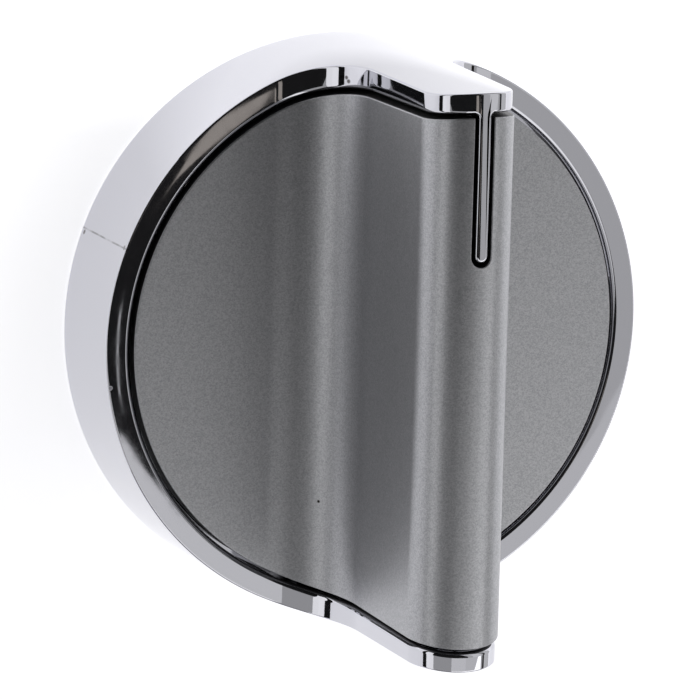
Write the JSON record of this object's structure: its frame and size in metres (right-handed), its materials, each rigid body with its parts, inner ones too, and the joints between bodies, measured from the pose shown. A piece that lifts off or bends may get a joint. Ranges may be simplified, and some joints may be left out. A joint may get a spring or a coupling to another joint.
{
  "type": "control knob",
  "caption": "Round control knob for a cooking range: chrome skirt and rim, grey wave-shaped face with a tall finger grip and a bright pointer line, pushed onto a D-shaped stem.",
  "frame": {"origin": "on the stem axis, in the plane of the skirt's open back edge that the knob rests on", "axes": "+Z along the stem axis out of the face, +Y towards the pointer along the grip, +X to the right seen from the front"},
  "size_m": [0.056, 0.056, 0.0365],
  "materials": {
    "plated_chrome": "bright chrome plating on moulded plastic",
    "grey_paint": "satin metallic grey paint on moulded plastic",
    "black_plastic": "as moulded, glass-filled heat-resistant plastic",
    "spring_steel": "bright rolled spring steel"
  },
  "bodies": {
    "root": {"chrome_shell": "plated_chrome", "grip_cover": "grey_paint", "hub_core": "black_plastic", "spring_ring": "spring_steel"}
  },
  "joints": []
}
